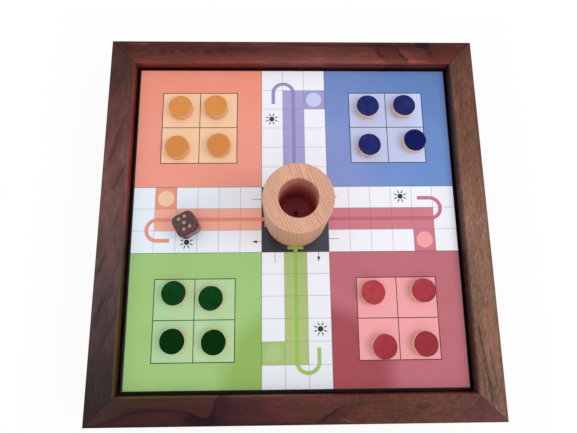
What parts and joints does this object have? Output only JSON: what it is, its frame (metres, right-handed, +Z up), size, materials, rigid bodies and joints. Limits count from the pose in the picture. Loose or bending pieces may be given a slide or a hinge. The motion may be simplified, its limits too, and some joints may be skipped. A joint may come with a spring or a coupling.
{
  "type": "ludo board box",
  "caption": "Shallow square box of mitred hardwood. Its recessed lid is a lift-out printed ludo panel, with turned tokens, a rounded die and a turned dice cup standing on it.",
  "frame": {"origin": "middle of the underside of the square frame, on the table it lies on", "axes": "+Z up out of the playing face, +Y away from the player at the front, +X to the player's right"},
  "size_m": [0.305, 0.305, 0.1215],
  "materials": {
    "rail_wood": "satin oil",
    "spline_wood": "raw",
    "ledge_wood": "stained black",
    "base_plywood": "raw",
    "screw_steel": "bright zinc plate",
    "panel_board": "black gloss edge",
    "printed_sheet": "gloss laminated print",
    "paint_orange": "painted top, bare side",
    "paint_blue": "painted top, bare side",
    "paint_green": "painted top, bare side",
    "paint_red": "painted top, bare side",
    "die_wood": "satin",
    "cup_wood": "satin, turned"
  },
  "bodies": {
    "box": {"rail_front": "rail_wood", "rail_right": "rail_wood", "rail_back": "rail_wood", "rail_left": "rail_wood", "spline_front_left": "spline_wood", "spline_front_right": "spline_wood", "spline_back_right": "spline_wood", "spline_back_left": "spline_wood", "base_panel": "base_plywood", "base_screws": "screw_steel", "ledge_front": "ledge_wood", "ledge_right": "ledge_wood", "ledge_back": "ledge_wood", "ledge_left": "ledge_wood"},
    "panel": {"playing_panel": "panel_board", "printed_sheet": "printed_sheet"},
    "orange_1": {"token_orange_1": "paint_orange"},
    "orange_2": {"token_orange_2": "paint_orange"},
    "orange_3": {"token_orange_3": "paint_orange"},
    "orange_4": {"token_orange_4": "paint_orange"},
    "blue_1": {"token_blue_1": "paint_blue"},
    "blue_2": {"token_blue_2": "paint_blue"},
    "blue_3": {"token_blue_3": "paint_blue"},
    "blue_4": {"token_blue_4": "paint_blue"},
    "green_1": {"token_green_1": "paint_green"},
    "green_2": {"token_green_2": "paint_green"},
    "green_3": {"token_green_3": "paint_green"},
    "green_4": {"token_green_4": "paint_green"},
    "red_1": {"token_red_1": "paint_red"},
    "red_2": {"token_red_2": "paint_red"},
    "red_3": {"token_red_3": "paint_red"},
    "red_4": {"token_red_4": "paint_red"},
    "die": {"die": "die_wood"},
    "cup": {"dice_cup": "cup_wood"}
  },
  "joints": [
    {"name": "panel_lift", "type": "slide", "parent": "box", "child": "panel", "axis": [0, 0, 1], "range_m": [0, 0.08]},
    {"name": "orange_1_lift", "type": "slide", "parent": "panel", "child": "orange_1", "axis": [0, 0, 1], "range_m": [0, 0.065]},
    {"name": "orange_2_lift", "type": "slide", "parent": "panel", "child": "orange_2", "axis": [0, 0, 1], "range_m": [0, 0.065]},
    {"name": "orange_3_lift", "type": "slide", "parent": "panel", "child": "orange_3", "axis": [0, 0, 1], "range_m": [0, 0.065]},
    {"name": "orange_4_lift", "type": "slide", "parent": "panel", "child": "orange_4", "axis": [0, 0, 1], "range_m": [0, 0.065]},
    {"name": "blue_1_lift", "type": "slide", "parent": "panel", "child": "blue_1", "axis": [0, 0, 1], "range_m": [0, 0.065]},
    {"name": "blue_2_lift", "type": "slide", "parent": "panel", "child": "blue_2", "axis": [0, 0, 1], "range_m": [0, 0.065]},
    {"name": "blue_3_lift", "type": "slide", "parent": "panel", "child": "blue_3", "axis": [0, 0, 1], "range_m": [0, 0.065]},
    {"name": "blue_4_lift", "type": "slide", "parent": "panel", "child": "blue_4", "axis": [0, 0, 1], "range_m": [0, 0.065]},
    {"name": "green_1_lift", "type": "slide", "parent": "panel", "child": "green_1", "axis": [0, 0, 1], "range_m": [0, 0.065]},
    {"name": "green_2_lift", "type": "slide", "parent": "panel", "child": "green_2", "axis": [0, 0, 1], "range_m": [0, 0.065]},
    {"name": "green_3_lift", "type": "slide", "parent": "panel", "child": "green_3", "axis": [0, 0, 1], "range_m": [0, 0.065]},
    {"name": "green_4_lift", "type": "slide", "parent": "panel", "child": "green_4", "axis": [0, 0, 1], "range_m": [0, 0.065]},
    {"name": "red_1_lift", "type": "slide", "parent": "panel", "child": "red_1", "axis": [0, 0, 1], "range_m": [0, 0.065]},
    {"name": "red_2_lift", "type": "slide", "parent": "panel", "child": "red_2", "axis": [0, 0, 1], "range_m": [0, 0.065]},
    {"name": "red_3_lift", "type": "slide", "parent": "panel", "child": "red_3", "axis": [0, 0, 1], "range_m": [0, 0.065]},
    {"name": "red_4_lift", "type": "slide", "parent": "panel", "child": "red_4", "axis": [0, 0, 1], "range_m": [0, 0.065]},
    {"name": "die_lift", "type": "slide", "parent": "panel", "child": "die", "axis": [0, 0, 1], "range_m": [0, 0.065]},
    {"name": "cup_lift", "type": "slide", "parent": "panel", "child": "cup", "axis": [0, 0, 1], "range_m": [0, 0.065]}
  ]
}
